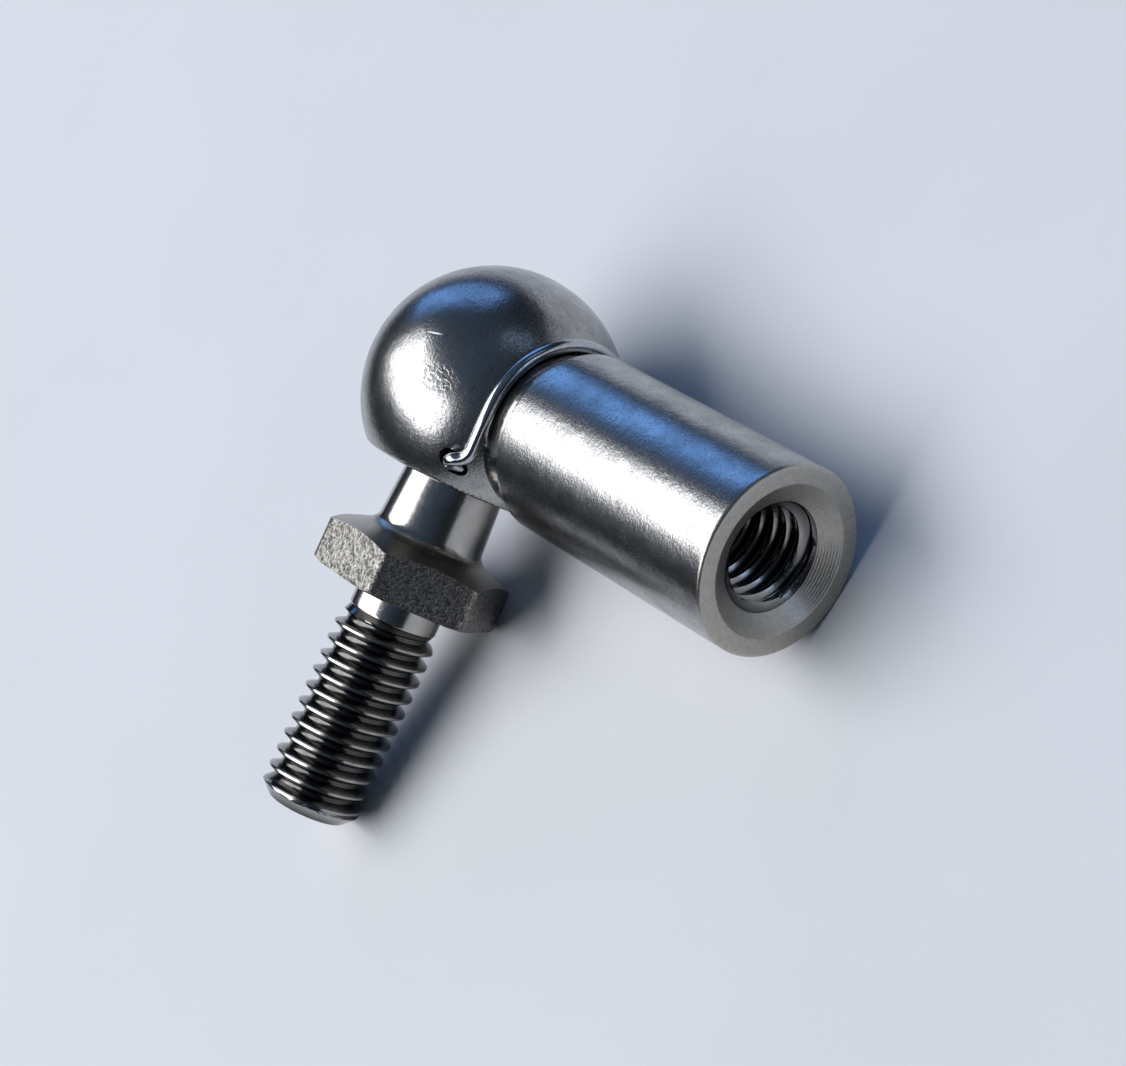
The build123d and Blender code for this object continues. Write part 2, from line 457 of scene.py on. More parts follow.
# How far the seat's cutter stands clear of the rim and past the head
CUT_CLEAR = 0.4
CUT_PAST = 1.5


def socket_stock(size, pitch, columns=168):
    """The socket's outside and bore as one form turned about the shaft.

    The profile runs from the head's far pole over the head, the neck, the shoulder and
    the shaft, round the end's rim, down the countersink and along the turns of the
    thread to the drill point.
    """
    head_r, neck_r = size["head_d"] / 2, size["neck_d"] / 2
    shaft_r, reach = size["shaft_d"] / 2, size["shaft_reach"]
    crease = atan2(neck_r, sqrt(head_r**2 - neck_r**2))
    head = arc(head_r, pi, crease, 110)
    edge = size["edge_round"]
    root_r, crest_r = size["bore_root_d"] / 2, size["bore_crest_d"] / 2
    sink_r = size["countersink_d"] / 2
    slope = tan(size["countersink"] / 2)
    sink_end = reach - (sink_r - root_r) / slope
    outside = rounded(
        [
            head[-1],
            (size["shoulder_reach"], neck_r),
            (size["shoulder_reach"], shaft_r),
            (reach, shaft_r),
            (reach, sink_r),
            (sink_end, root_r),
        ],
        [NECK_FOOT_ROUND, edge, edge * END_EDGE_SHARE, SINK_RIM_ROUND],
    )
    bore_end = reach - size["bore_depth"]
    along, phase = thread_grid(bore_end, sink_end, sink_end, pitch, columns, 1, 12)
    along, phase = along[::-1], phase[::-1]
    turns = thread_out(phase, crest_r, root_r, pitch)
    bore = np.maximum(turns, sink_r - (reach - along) * slope)
    point = bore_end - root_r / tan(size["drill_point"] / 2)
    sections = [
        spread(np.concatenate([head, outside[1:]]), columns),
        (along, bore),
        spread(np.array([(bore_end, root_r), (point, 0.0)]), columns),
    ]
    grids = [np.concatenate(parts) for parts in zip(*sections)]
    return sweep_round(*grids, columns, SHAFT_AXES)


def seat_cutter(size, wire, columns=168):
    """What the mouth's flat and the ball's seat take away, turned about the mouth.

    The profile starts below the mouth, breaks the head's rim with a narrow cone, runs
    in along the flat, up the straight bore, round the snap ring's groove and ends in
    half a ball.
    """
    head_r, drop, seat_r = size["head_d"] / 2, size["mouth_drop"], size["seat_d"] / 2
    rim_r = sqrt(head_r**2 - drop**2)
    rise = tan(RIM_SLOPE) * (RIM_BREAK + CUT_CLEAR)
    ring_r, ring_drop = ring_place(size["seat_d"] / 2, wire)
    groove_r = ring_r + wire["ring_d"] / 2 + size["groove_room"]
    half = size["groove_height"] / 2
    below = rounded(
        [
            (head_r + CUT_PAST, 0.0),
            (head_r + CUT_PAST, rim_r + CUT_CLEAR),
            (drop - rise, rim_r + CUT_CLEAR),
            (drop, rim_r - RIM_BREAK),
            (drop, seat_r + size["mouth_break"]),
            (drop - size["mouth_break"], seat_r),
            (ring_drop + half, seat_r),
            (ring_drop + half, groove_r),
            (ring_drop - half, groove_r),
            (ring_drop - half, seat_r),
            (0.0, seat_r),
        ],
        [0] * 9,
    )
    profile = np.concatenate([below, arc(seat_r, pi / 2, pi, 40)[1:]])
    return sweep_round(*spread(profile, columns), columns, MOUTH_AXES)


def cross_hole_cutter(size, columns=48):
    """A plain drill right through the head, with its axis at the holes' reach and drop."""
    reach, radius = size["head_d"] / 2 + 1, size["cross_hole_d"] / 2
    profile = np.array([(-reach, 0.0), (-reach, radius), (reach, radius), (reach, 0.0)])
    points = sweep_round(*spread(profile, columns), columns, CROSS_AXES)
    return points + np.array([size["cross_hole_reach"], 0.0, -size["cross_hole_drop"]])


# Where the socket's finishes change, in millimetres
FACED_DEPTH = 0.9
FACED_TILT = 0.25  # least share of a faced normal that points along the shaft
NECK_REACH = 4.0
NECK_OFF_HEAD = 0.01
NECK_PAST_SHOULDER = 0.02
BORE_OFF_ROOT = 0.005
SEAT_IN_HEAD = 0.03
SEAT_SHORT_OF_SHOULDER = 1.6


def socket_choice(mesh, size):
    """Finish of each face: 0 satin, 1 bright turned, 2 faced, 3 thread."""
    centre, normal = centres_of(mesh)
    along = centre[:, 0]
    off_shaft = np.hypot(centre[:, 1], centre[:, 2])
    from_ball = np.linalg.norm(centre, axis=1)
    choice = np.zeros(len(centre), int)
    head_r, shoulder = size["head_d"] / 2, size["shoulder_reach"]
    choice[(along > size["shaft_reach"] - FACED_DEPTH) & (normal[:, 0] > FACED_TILT)] = 2
    past_head = (along > NECK_REACH) & (from_ball > head_r + NECK_OFF_HEAD)
    choice[past_head & (along < shoulder + NECK_PAST_SHOULDER)] = 1
    in_bore = off_shaft < size["bore_root_d"] / 2 + BORE_OFF_ROOT
    choice[in_bore & (along > shoulder)] = 3
    in_seat = (from_ball < head_r - SEAT_IN_HEAD) & (along < shoulder - SEAT_SHORT_OF_SHOULDER)
    choice[in_seat] = 1
    return choice


# The ball stud


STUD_AXES = ((0, 0, -1), (1, 0, 0), (0, 1, 0))

# The collar's edge and the spacing of its rows, in millimetres
COLLAR_ROUND = 0.1
COLLAR_STEP = 0.15


def hex_out(columns, flats):
    """Distance of a hexagon's outline from its middle at each column.

    Half the width over the cosine of the angle to the nearest flat's middle. The
    corners lie at whole multiples of sixty degrees, so each falls on a column.
    """
    sixth = pi / 3
    off_flat = np.mod(around(columns), sixth) - sixth / 2
    return flats / 2 / np.cos(off_flat)


def stud_points(size, pitch, columns=180):
    """The stud as one closed form about its axis, from the ball's pole to the tip.

    Turned stretches are the same in every column. On the hexagon each row's place
    follows the outline: the cone runs out to it, the flats run down along it and the
    bevel runs in from it, so that every edge of the hexagon lies on a row.
    """
    ball_r, foot_r = size["ball_d"] / 2, size["neck_foot_d"] / 2
    top_r = size["neck_top_d"] / 2
    neck_top = sqrt(ball_r**2 - top_r**2)
    ball = arc(ball_r, pi, atan2(top_r, neck_top), 90)
    corner_r, rise = size["hex_flats"] / sqrt(3), tan(size["hex_cone"])
    foot = size["hex_corner_drop"] - (corner_r - foot_r) * rise
    cone_r = foot_r + size["neck_round"]
    neck = rounded(
        [ball[-1], (foot, foot_r), (foot + (cone_r - foot_r) * rise, cone_r)],
        [size["neck_round"]],
    )
    worn = corner_r - size["corner_wear"]
    outline = np.minimum(hex_out(columns, size["hex_flats"]), worn)[None]
    share = np.linspace(0, 1, 13)[:, None]
    cone_out = cone_r + (outline - cone_r) * share
    cone = foot + (cone_out - foot_r) * rise
    under, bevel_r = size["hex_under_drop"], corner_r - size["hex_under_break"]
    inner = np.minimum(outline, bevel_r)
    bevel_top = under - (outline - inner) * tan(size["hex_under"])
    flat = cone[-1:] + (bevel_top - cone[-1:]) * share
    collar_r = size["collar_d"] / 2
    thread_start = under + size["collar_length"]
    collar = rounded(
        [(under, collar_r), (thread_start, collar_r), (thread_start, size["start_d"] / 2)],
        [COLLAR_ROUND],
        COLLAR_STEP,
    )
    crest, root, end = size["crest_d"] / 2, size["root_d"] / 2, size["tip_drop"]
    along, phase = thread_grid(thread_start, end, size["crest_phase"], pitch, columns, -1, 16)
    turns = thread_out(phase, crest, root, pitch)
    rising = size["start_d"] / 2 + (along - thread_start) / size["start_length"] * (
        crest - size["start_d"] / 2
    )
    tip = size["tip_d"] / 2 + (end - along)
    run_out = crest - (end - along - (crest - size["tip_d"] / 2)) * size["tip_fill"]
    turns = np.clip(run_out, turns, crest)
    sections = [
        spread(np.concatenate([ball, neck[1:]]), columns),
        (cone, cone_out),
        (flat, np.broadcast_to(outline, flat.shape)),
        (np.full_like(cone_out, under), collar_r + (inner - collar_r) * share[::-1]),
        spread(collar, columns),
        (along, np.minimum(np.minimum(turns, rising), tip)),
        spread(np.array([(end, size["tip_d"] / 4), (end, 0.0)]), columns),
    ]
    grids = [np.concatenate(parts) for parts in zip(*sections)]
    return sweep_round(*grids, columns, STUD_AXES)


# Where the stud's finishes change: millimetres, then shares of the normal
HEX_HEIGHT = 1.2
ROW_OFF = 0.01
FLAT_OFF = 0.02
FLAT_TILT = 0.3
FACED_STUD_TILT = 0.5


def stud_choice(mesh, size):
    """Finish of each face: 0 bright turned, 1 grained flats, 2 thread, 3 faced."""
    centre, normal = centres_of(mesh)
    drop = -centre[:, 2]
    off = np.hypot(centre[:, 0], centre[:, 1])
    choice = np.zeros(len(centre), int)
    above = drop > size["hex_corner_drop"] - HEX_HEIGHT
    in_hex = above & (drop <= size["hex_under_drop"] + ROW_OFF)
    on_flat = (off > size["hex_flats"] / 2 - FLAT_OFF) & (np.abs(normal[:, 2]) < FLAT_TILT)
    choice[in_hex & on_flat] = 1
    choice[in_hex & (np.abs(normal[:, 2]) > FACED_STUD_TILT)] = 3
    choice[drop > size["hex_under_drop"] + size["collar_length"]] = 2
    choice[drop > size["tip_drop"] - ROW_OFF] = 3
    return choice


# The wires

SEAT_ROOM = 0.1  # the seat's radius past the ball's, in millimetres
WIRE_STEP = 0.1  # spacing of the samples along the clip, in millimetres


def ring_place(seat_r, wire):
    """Radius and drop of the snap ring's path, where it bears on the ball from below."""
    from_ball = seat_r - SEAT_ROOM + wire["ring_gap"] + wire["ring_d"] / 2
    return from_ball * cos(wire["ring_below"]), from_ball * sin(wire["ring_below"])


def clip_path(size, wire):
    """The clip's middle line: a leg, the bow over the neck and the other leg.

    The bow is half a circle about the shaft. Each leg leaves it straight down, leans
    to the head, turns to its hole and runs in, with every corner an arc.
    """
    head_r, wire_r, seat_r = size["head_d"] / 2, wire["clip_d"] / 2, size["seat_d"] / 2
    reach, hole_drop = size["cross_hole_reach"], size["cross_hole_drop"]
    bow_r = size["neck_d"] / 2 + wire["clip_gap"] + wire_r
    bow_reach = sqrt((head_r + wire["clip_gap"] + wire_r) ** 2 - bow_r**2)
    foot_reach = bow_reach - wire["leg_lean"]
    end_drop = hole_drop + wire["clip_sag"]
    foot_drop = end_drop - wire["leg_foot"]
    stand = head_r + wire_r + wire["leg_stand_off"]
    foot_out = sqrt(stand**2 - foot_reach**2 - foot_drop**2)
    end_out = sqrt(head_r**2 - reach**2 - hole_drop**2) + wire["end_stand_off"]
    tip_out = sqrt(seat_r**2 - reach**2) - wire["tip_in"]
    radii = [wire["leg_round"], wire["foot_round"], wire["end_round"]]
    legs = []
    for side in (-1, 1):
        corners = [
            (bow_reach, side * bow_r, 0),
            (bow_reach, side * bow_r, -wire["leg_straight"]),
            (foot_reach, side * foot_out, -foot_drop),
            (reach, side * end_out, -end_drop),
            (reach, side * tip_out, -end_drop),
        ]
        legs.append(rounded(corners, radii, WIRE_STEP))
    turned = np.linspace(pi, 0, 120)[1:-1]
    bow = np.column_stack(
        [np.full_like(turned, bow_reach), bow_r * np.cos(turned), bow_r * np.sin(turned)]
    )
    return np.concatenate([legs[0][::-1], bow, legs[1]])


def ring_path(size, wire):
    """The snap ring's middle line: a circle about the mouth's axis, less its split."""
    radius, drop = ring_place(size["seat_d"] / 2, wire)
    half = wire["ring_split"] / 2
    turned = np.linspace(pi + half, 3 * pi - half, 160)
    return np.column_stack(
        [radius * np.cos(turned), radius * np.sin(turned), np.full_like(turned, -drop)]
    )


# Materials


def add_node(tree, kind, inputs=(), **settings):
    """Adds a node. Each input is a constant or another node's output, by socket."""
    made = tree.nodes.new(kind)
    for name, value in settings.items():
        setattr(made, name, value)
    for key, value in dict(inputs).items():
        socket = made.inputs[key]
        if isinstance(value, bpy.types.NodeSocket):
            tree.links.new(value, socket)
        else:
            socket.default_value = value
    return made


def new_material(name):
    """An empty material, its tree and the joint's own coordinates in millimetres.

    The Mapping node undoes the joint's place: it scales metres to millimetres, turns
    the row's axes to the joint's and moves the ball's centre to the origin.
    """
    material = bpy.data.materials.new(name)
    material.use_nodes = True
    tree = material.node_tree
    tree.nodes.clear()
    coordinates = add_node(tree, "ShaderNodeTexCoord")
    turn = Matrix(JOINT_AXES.T.tolist())
    place = add_node(
        tree,
        "ShaderNodeMapping",
        {
            "Vector": coordinates.outputs["Object"],
            "Location": Vector((-(JOINT_AXES.T @ BALL_CENTRE)).tolist()),
            "Rotation": turn.to_euler(),
            "Scale": (1 / MM, 1 / MM, 1 / MM),
        },
    )
    return material, tree, place.outputs["Vector"]


def noise(tree, place, size_mm, detail=2.0, roughness=0.5):
    """Noise whose features are about size_mm across, as a value round one half."""
    made = add_node(
        tree,
        "ShaderNodeTexNoise",
        {"Vector": place, "Scale": 1 / size_mm, "Detail": detail, "Roughness": roughness},
    )
    return made.outputs["Fac"]


def remap(tree, value, low, high, to_low, to_high):
    """The value's range low to high drawn out to to_low to to_high, and held there."""
    made = add_node(
        tree,
        "ShaderNodeMapRange",
        {"Value": value, "From Min": low, "From Max": high, "To Min": to_low, "To Max": to_high},
    )
    return made.outputs["Result"]


def maths(tree, operation, first, second=0.0):
    """One sum of two values."""
    made = add_node(tree, "ShaderNodeMath", {0: first, 1: second}, operation=operation)
    return made.outputs["Value"]


def mixed(tree, share, first, second):
    """The first colour turned into the second by the share."""
    made = add_node(
        tree, "ShaderNodeMix", {0: share, 6: first, 7: second}, data_type="RGBA"
    )
    return made.outputs[2]


def distance_off(tree, place, axes):
    """Distance off the axis that the other two are square to: root of the squares' sum."""
    split = add_node(tree, "ShaderNodeSeparateXYZ", {"Vector": place})
    squares = [maths(tree, "POWER", split.outputs[axis], 2.0) for axis in axes]
    return maths(tree, "SQRT", maths(tree, "ADD", *squares))


def metal(tree, base, roughness, height, depth_mm):
    """A bare metal with its colour, its roughness and a relief of depth_mm."""
    bump = add_node(
        tree,
        "ShaderNodeBump",
        {"Height": height, "Distance": depth_mm * MM, "Strength": 1.0},
    )
    shader = add_node(
        tree,
        "ShaderNodeBsdfPrincipled",
        {
            "Base Color": base,
            "Metallic": 1.0,
            "Roughness": roughness,
            "Normal": bump.outputs["Normal"],
        },
    )
    add_node(tree, "ShaderNodeOutputMaterial", {"Surface": shader.outputs["BSDF"]})


def shaded(colour_value, share):
    """A colour darkened to a share of itself."""
    return (*[part * share for part in colour_value[:3]], 1.0)


def stretched(tree, place, centre, way, size_mm):
    """Distance from a centre measured in mark sizes: long along way, short across it.

    The place is moved to the centre, turned so that way is its first axis and divided
    by the mark's length, width and depth; its length is then one at the mark's edge.
    """
    way = unit(way)
    side = unit(np.cross(centre, way))
    turn = Matrix(np.array([way, side, np.cross(way, side)]).tolist())
    moved = add_node(
        tree, "ShaderNodeVectorMath", {0: place, 1: tuple(centre)}, operation="SUBTRACT"
    )
    turned = add_node(
        tree,
        "ShaderNodeMapping",
        {"Vector": moved.outputs["Vector"], "Rotation": turn.to_euler()},
    )
    sized = add_node(
        tree,
        "ShaderNodeVectorMath",
        {0: turned.outputs["Vector"], 1: tuple(1 / part for part in size_mm)},
        operation="MULTIPLY",
    )
    far = add_node(
        tree, "ShaderNodeVectorMath", {0: sized.outputs["Vector"]}, operation="LENGTH"
    )
    return far.outputs["Value"]


# The marks on the head, in the joint's millimetres: centre, way, and length, width, depth
SCUFF_CENTRE = (3.0, -6.76, 0.27)
SCUFF_WAY = (0.9, 0.42, 0.18)
SCUFF_SIZE = (1.35, 0.8, 1.5)
SCRATCH_CENTRE = (1.37, -6.89, 2.32)
SCRATCH_SIZE = (0.55, 0.06, 1.0)


def satin_steel(finishes):
    """Stainless steel, turned and then tumbled with stones.

    Tumbling leaves a satin sheen with a fine grain, a few darker freckles and shallow
    dents over the faint lines of the feed, so highlights are broad and speckled. The
    head has one scuffed patch and one short scratch.
    """
    material, tree, place = new_material("stainless_steel_tumbled")
    base = tuple(finishes.satin)
    cloud = noise(tree, place, 1.6, 4.0, 0.6)
    grain = noise(tree, place, 0.13, 3.0, 0.65)
    dents = noise(tree, place, 0.5, 2.0)
    freckle = noise(tree, place, 0.24, 1.0)
    lines = add_node(
        tree, "ShaderNodeMapping", {"Vector": place, "Scale": (1.0, 0.09, 0.09)}
    ).outputs["Vector"]
    feed = noise(tree, lines, 0.12, 2.0)
    scuff = remap(tree, stretched(tree, place, SCUFF_CENTRE, SCUFF_WAY, SCUFF_SIZE), 0.8, 1, 1, 0)
    scuff = maths(tree, "MULTIPLY", scuff, remap(tree, freckle, 0.42, 0.55, 0, 1))
    scratch = remap(
        tree, stretched(tree, place, SCRATCH_CENTRE, SCUFF_WAY, SCRATCH_SIZE), 0.6, 1, 1, 0
    )
    tone = mixed(tree, remap(tree, cloud, 0.35, 0.65, 0, 1), base, shaded(base, 0.70))
    tone = mixed(tree, remap(tree, grain, 0.50, 0.68, 0, 0.6), tone, shaded(base, 0.4))
    tone = mixed(tree, remap(tree, freckle, 0.66, 0.74, 0, 0.5), tone, shaded(base, 0.3))
    tone = mixed(tree, maths(tree, "MULTIPLY", scuff, 0.45), tone, shaded(base, 0.3))
    tone = mixed(tree, scratch, tone, (0.9, 0.9, 0.9, 1.0))
    marks = maths(tree, "ADD", maths(tree, "MULTIPLY", scuff, 0.16), scratch)
    roughness = maths(
        tree,
        "ADD",
        remap(tree, cloud, 0.3, 0.7, 0.15, 0.24),
        maths(tree, "ADD", remap(tree, grain, 0.3, 0.7, 0.0, 0.08), maths(tree, "MULTIPLY", marks, 0.4)),
    )
    relief = maths(tree, "ADD", grain, maths(tree, "MULTIPLY", feed, 0.55))
    relief = maths(tree, "ADD", relief, maths(tree, "MULTIPLY", dents, 1.1))
    relief = maths(tree, "SUBTRACT", relief, maths(tree, "MULTIPLY", scuff, 0.8))
    metal(tree, tone, roughness, relief, 0.010)
    return material


def turned_steel(finishes):
    """Stainless steel turned with a fine feed and left bright.

    Its reflections are nearly a mirror's, broken lightly by the tool's feed.
    """
    material, tree, place = new_material("stainless_steel_turned")
    base = tuple(finishes.bright)
    cloud = noise(tree, place, 1.4, 2.0)
    grain = noise(tree, place, 0.12, 2.0)
    tone = mixed(tree, remap(tree, cloud, 0.35, 0.7, 0, 1), base, shaded(base, 0.8))
    roughness = remap(tree, grain, 0.3, 0.7, 0.13, 0.22)
    metal(tree, tone, roughness, grain, 0.0015)
    return material


def faced_steel(name, finishes, axes):
    """Stainless steel faced on a lathe: fine rings about the axis that it turned on.

    The feed is 0.05 mm a turn, drawn as rings of 0.14 mm because finer ones don't show.
    The height is a sine of the distance off the axis.
    """
    material, tree, place = new_material(name)
    base = tuple(finishes.faced)
    feed_mm = 0.14
    off_axis = distance_off(tree, place, axes)
    feed = maths(tree, "SINE", maths(tree, "MULTIPLY", off_axis, 2 * pi / feed_mm))
    grain = noise(tree, place, 0.09, 2.0)
    cloud = remap(tree, noise(tree, place, 0.3), 0.35, 0.7, 0, 1)
    tone = mixed(tree, cloud, base, shaded(base, 0.86))
    height = maths(tree, "ADD", maths(tree, "MULTIPLY", feed, 0.6), grain)
    metal(tree, tone, remap(tree, grain, 0.3, 0.7, 0.26, 0.38), height, 0.003)
    return material


def faced_shaft(finishes):
    """The shaft's end and countersink, with rings about the shaft."""
    return faced_steel("stainless_steel_faced_shaft", finishes, ("Y", "Z"))


def faced_stud(finishes):
    """The hexagon's cone and underside and the stud's tip, with rings about the stud."""
    return faced_steel("stainless_steel_faced_stud", finishes, ("X", "Y"))


def grained_steel(finishes):
    """Drawn hexagon bar, whose faces keep the coarse pits of the drawing die."""
    material, tree, place = new_material("stainless_steel_drawn_bar")
    base = tuple(finishes.grained)
    coarse = noise(tree, place, 0.26, 2.0)
    pits = maths(tree, "MULTIPLY", maths(tree, "ADD", coarse, noise(tree, place, 0.13, 3.0, 0.7)), 0.5)
    tone = mixed(tree, remap(tree, pits, 0.46, 0.60, 0, 1), base, shaded(base, 0.3))
    metal(tree, tone, remap(tree, pits, 0.35, 0.65, 0.2, 0.42), pits, 0.06)
    return material


def thread_steel(name, finishes, axes, root_mm, crest_mm):
    """Thread turns: burnished crests, and flanks darkened towards the root by painted shade.

    The painted shade follows the distance off the thread's axis, the root of the sum
    of two squares: the colour falls from the crest to the root.
    """
    material, tree, place = new_material(name)
    base = tuple(finishes.thread)
    grain = noise(tree, place, 0.15, 2.0)
    # painted shade: the colour darkens from the crest down into the thread's root
    out_of_root_shade = remap(tree, distance_off(tree, place, axes), root_mm, crest_mm, 0, 1)
    tone = mixed(tree, out_of_root_shade, shaded(base, 0.16), base)
    cloud = remap(tree, noise(tree, place, 0.9), 0.35, 0.7, 0, 1)
    tone = mixed(tree, maths(tree, "MULTIPLY", cloud, 0.4), tone, shaded(base, 0.4))
    metal(tree, tone, remap(tree, grain, 0.3, 0.7, 0.13, 0.22), grain, 0.002)
    return material


def rolled_thread(finishes):
    """The stud's turns, rolled: bright crests outside, painted shade in the roots inside."""
    size = sizes_mm("joint_stud")
    name = "stainless_steel_rolled_thread"
    return thread_steel(name, finishes, ("X", "Y"), size["root_d"] / 2, size["crest_d"] / 2)


def tapped_thread(finishes):
    """The bore's turns, tapped: bright crests inside, painted shade in the roots outside."""
    size = sizes_mm("joint_socket")
    name = "stainless_steel_tapped_thread"
    crest_r, root_r = size["bore_crest_d"] / 2, size["bore_root_d"] / 2
    return thread_steel(name, finishes, ("Y", "Z"), root_r, crest_r)


def spring_steel(finishes):
    """Hard drawn stainless spring wire, smooth and bright, with faint die marks."""
    material, tree, place = new_material("stainless_spring_wire")
    base = tuple(finishes.wire)
    grain = noise(tree, place, 0.16, 2.0)
    tone = mixed(tree, remap(tree, grain, 0.35, 0.7, 0, 1), base, shaded(base, 0.78))
    metal(tree, tone, remap(tree, grain, 0.3, 0.7, 0.12, 0.22), grain, 0.0015)
    return material


def table_paper(finishes):
    """A matt pale table top with a very faint cloud in its colour."""
    material, tree, place = new_material("matt_table_top")
    base = tuple(finishes.table)
    cloud = noise(tree, place, 22.0, 3.0)
    grain = noise(tree, place, 0.5, 2.0)
    tone = mixed(tree, remap(tree, cloud, 0.3, 0.7, 0, 1), base, shaded(base, 0.965))
    bump = add_node(tree, "ShaderNodeBump", {"Height": grain, "Distance": 0.01 * MM})
    shader = add_node(
        tree,
        "ShaderNodeBsdfPrincipled",
        {"Base Color": tone, "Roughness": 0.75, "Normal": bump.outputs["Normal"]},
    )
    add_node(tree, "ShaderNodeOutputMaterial", {"Surface": shader.outputs["BSDF"]})
    return material


def finished(name, make):
    """The material of that name, made once and shared."""
    return bpy.data.materials.get(name) or make(bpy.context.scene.joint_finishes)


def finish_set():
    """The joint's five metals by short names."""
    return {
        "satin": finished("stainless_steel_tumbled", satin_steel),
        "bright": finished("stainless_steel_turned", turned_steel),
        "faced_shaft": finished("stainless_steel_faced_shaft", faced_shaft),
        "faced_stud": finished("stainless_steel_faced_stud", faced_stud),
        "grained": finished("stainless_steel_drawn_bar", grained_steel),
        "rolled": finished("stainless_steel_rolled_thread", rolled_thread),
        "tapped": finished("stainless_steel_tapped_thread", tapped_thread),
        "wire": finished("stainless_spring_wire", spring_steel),
    }


# Operators


class BALLJOINT_OT_socket(bpy.types.Operator):
    """Make the socket: head, neck and tapped shaft, with its seat and cross holes"""

    bl_idname = "balljoint.socket"
    bl_label = "Make Socket"

    def execute(self, context):
        size, wire = sizes_mm("joint_socket"), sizes_mm("joint_wires")
        stock = grid_mesh("socket_stock", socket_stock(size, wire["pitch"]))
        seat = grid_mesh("seat_cutter", seat_cutter(size, wire))
        holes = grid_mesh("cross_hole_cutter", cross_hole_cutter(size))
        mesh = less(stock, seat, holes)
        mesh.name = "socket_turned"
        metals = finish_set()
        materials = [metals[key] for key in ("satin", "bright", "faced_shaft", "tapped")]
        mesh.materials.clear()
        choice = socket_choice(mesh, size)
        add_piece(
            "socket_turned", mesh, materials, choice, "socket", "socket_body"
        )
        return {"FINISHED"}


class BALLJOINT_OT_stud(bpy.types.Operator):
    """Make the ball stud: ball, neck, hexagon and threaded shank"""

    bl_idname = "balljoint.stud"
    bl_label = "Make Ball Stud"

    def execute(self, context):
        size = sizes_mm("joint_stud")
        pitch = sizes_mm("joint_wires")["pitch"]
        mesh = grid_mesh("stud_turned", stud_points(size, pitch))
        metals = finish_set()
        materials = [metals[key] for key in ("bright", "grained", "rolled", "faced_stud")]
        choice = stud_choice(mesh, size)
        add_piece("stud_turned", mesh, materials, choice, "stud", "ball_stud")
        return {"FINISHED"}


class BALLJOINT_OT_wires(bpy.types.Operator):
    """Make the two spring wires: the safety clip and the snap ring"""

    bl_idname = "balljoint.wires"
    bl_label = "Make Spring Wires"

    def execute(self, context):
        size, wire = sizes_mm("joint_socket"), sizes_mm("joint_wires")
        metals = [finish_set()["wire"]]
        wires = (
            ("clip_wire", clip_path, wire["clip_d"], (1, 0, -1), "socket", "safety_clip"),
            ("ring_wire", ring_path, wire["ring_d"], (0, 0, 1), "ring", "snap_ring"),
        )
        for name, path, diameter, reference, body, node in wires:
            points = tube(path(size, wire), diameter / 2, unit(reference))
            mesh = grid_mesh(name, points)
            choice = np.zeros(len(mesh.polygons))
            add_piece(name, mesh, metals, choice, body, node)
        return {"FINISHED"}


def soft_panel(name, azimuth, elevation, size, distance, power, shade, target):
    """An area light that faces the joint from an azimuth and an elevation.

    Azimuth is counted from +X towards +Y. The light's own -Z axis is turned to the
    target by the track quaternion of the way to it.
    """
    data = bpy.data.lights.new(name, "AREA")
    data.shape = "RECTANGLE"
    data.size, data.size_y = size
    data.energy = power
    data.color = tuple(shade)[:3]
    light = bpy.data.objects.new(name, data)
    way = Vector(
        (cos(elevation) * cos(azimuth), cos(elevation) * sin(azimuth), sin(elevation))
    )
    light.location = target + way * distance
    light.rotation_euler = way.to_track_quat("Z", "Y").to_euler()
    bpy.context.scene.collection.objects.link(light)
    return light


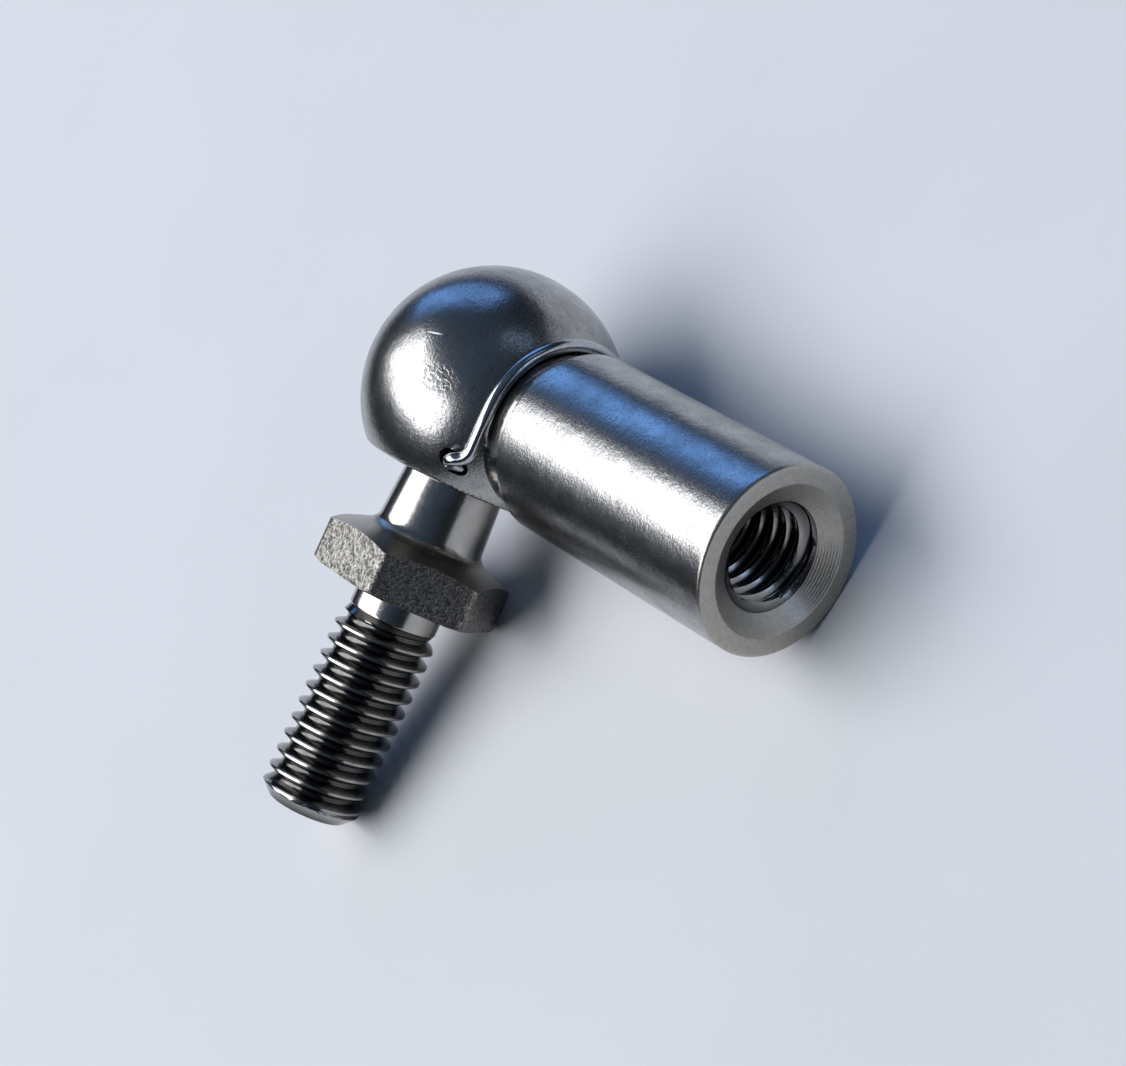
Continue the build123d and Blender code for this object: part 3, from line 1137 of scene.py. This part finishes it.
class BALLJOINT_OT_stage(bpy.types.Operator):
    """Make the stage: the table, the soft lights, the room and the camera"""

    bl_idname = "balljoint.stage"
    bl_label = "Make Stage"

    def execute(self, context):
        scene = context.scene
        finishes, place = scene.joint_finishes, scene.joint_stage
        half, rows = 0.6, 3
        side = np.linspace(-half, half, rows)
        across, along = np.meshgrid(side, side)
        points = np.stack([across, along, np.zeros_like(across)], -1)
        corner = (np.arange(rows - 1)[:, None] * rows + np.arange(rows - 1)).ravel()
        faces = np.stack([corner, corner + 1, corner + rows + 1, corner + rows], -1)
        mesh = bpy.data.meshes.new("table_top")
        mesh.from_pydata(points.reshape(-1, 3), [], faces)
        mesh.materials.append(table_paper(finishes))
        table = bpy.data.objects.new("table_top", mesh)
        scene.collection.objects.link(table)

        target = Vector((BALL_CENTRE * MM).tolist())
        panels = (
            ("window", -126, 60, (1.30, 0.60), 0.90, 11.8, finishes.window),
            ("sky_patch", 137, 24, (0.80, 0.34), 0.90, 1.75, finishes.sky),
            ("doorway", 27, 3, (0.22, 0.24), 0.90, 0.36, finishes.doorway),
            ("far_pane", 62, 27, (0.07, 0.34), 0.90, 0.14, finishes.doorway),
        )
        for name, azimuth, elevation, size, distance, power, shade in panels:
            soft_panel(
                name, radians(azimuth), radians(elevation), size, distance, power, shade, target
            )

        world = bpy.data.worlds.new("dim_room")
        world.use_nodes = True
        tree = world.node_tree
        tree.nodes.clear()
        way = add_node(tree, "ShaderNodeTexCoord")
        split = add_node(tree, "ShaderNodeSeparateXYZ", {"Vector": way.outputs["Generated"]})
        rise = remap(tree, split.outputs["Z"], 0.25, 0.95, 0, 1)
        shade = mixed(tree, rise, tuple(finishes.room), tuple(finishes.ceiling))
        room = add_node(tree, "ShaderNodeBackground", {"Color": shade, "Strength": 1.0})
        add_node(tree, "ShaderNodeOutputWorld", {"Surface": room.outputs[0]})
        scene.world = world
        scene.view_settings.view_transform = "Standard"

        data = bpy.data.cameras.new("camera")
        data.lens = place.lens
        data.sensor_width = 36.0
        data.clip_start = 0.001
        camera = bpy.data.objects.new("camera", data)
        back = Vector(
            (
                sin(place.azimuth) * cos(place.elevation),
                -cos(place.azimuth) * cos(place.elevation),
                sin(place.elevation),
            )
        )
        aim = Vector((place.aim_x, place.aim_y, place.aim_z))
        turn = back.to_track_quat("Z", "Y").to_matrix() @ Matrix.Rotation(place.roll, 3, "Z")
        camera.matrix_world = Matrix.Translation(aim + back * place.distance) @ turn.to_4x4()
        scene.collection.objects.link(camera)
        scene.camera = camera
        return {"FINISHED"}


class BALLJOINT_PT_sidebar(bpy.types.Panel):
    """Lists the joint's operators and sizes in the sidebar"""

    bl_idname = "BALLJOINT_PT_sidebar"
    bl_label = "Angle Ball Joint"
    bl_space_type = "VIEW_3D"
    bl_region_type = "UI"
    bl_category = "Ball Joint"

    def draw(self, context):
        for operator in OPERATORS:
            self.layout.operator(operator.bl_idname)
        for group in GROUPS:
            box = self.layout.box()
            box.label(text=group.replace("_", " ").capitalize())
            values = getattr(context.scene, group)
            for name in values.__annotations__:
                box.prop(values, name)


GROUPS = {
    "joint_socket": SocketSizes,
    "joint_stud": StudSizes,
    "joint_wires": WireSizes,
    "joint_finishes": Finishes,
    "joint_stage": StagePlace,
}
OPERATORS = (
    BALLJOINT_OT_socket,
    BALLJOINT_OT_stud,
    BALLJOINT_OT_wires,
    BALLJOINT_OT_stage,
)


def register():
    """Registers the classes and hangs each property group on the scene."""
    for item in (*GROUPS.values(), *OPERATORS, BALLJOINT_PT_sidebar):
        bpy.utils.register_class(item)
    for name, group in GROUPS.items():
        setattr(bpy.types.Scene, name, bpy.props.PointerProperty(type=group))


def unregister():
    """Takes back what register did."""
    for name in GROUPS:
        delattr(bpy.types.Scene, name)
    for item in (BALLJOINT_PT_sidebar, *reversed(OPERATORS), *GROUPS.values()):
        bpy.utils.unregister_class(item)


def main():
    register()
    bpy.ops.balljoint.socket()
    bpy.ops.balljoint.stud()
    bpy.ops.balljoint.wires()
    bpy.ops.balljoint.stage()


if __name__ == "__main__":
    main()
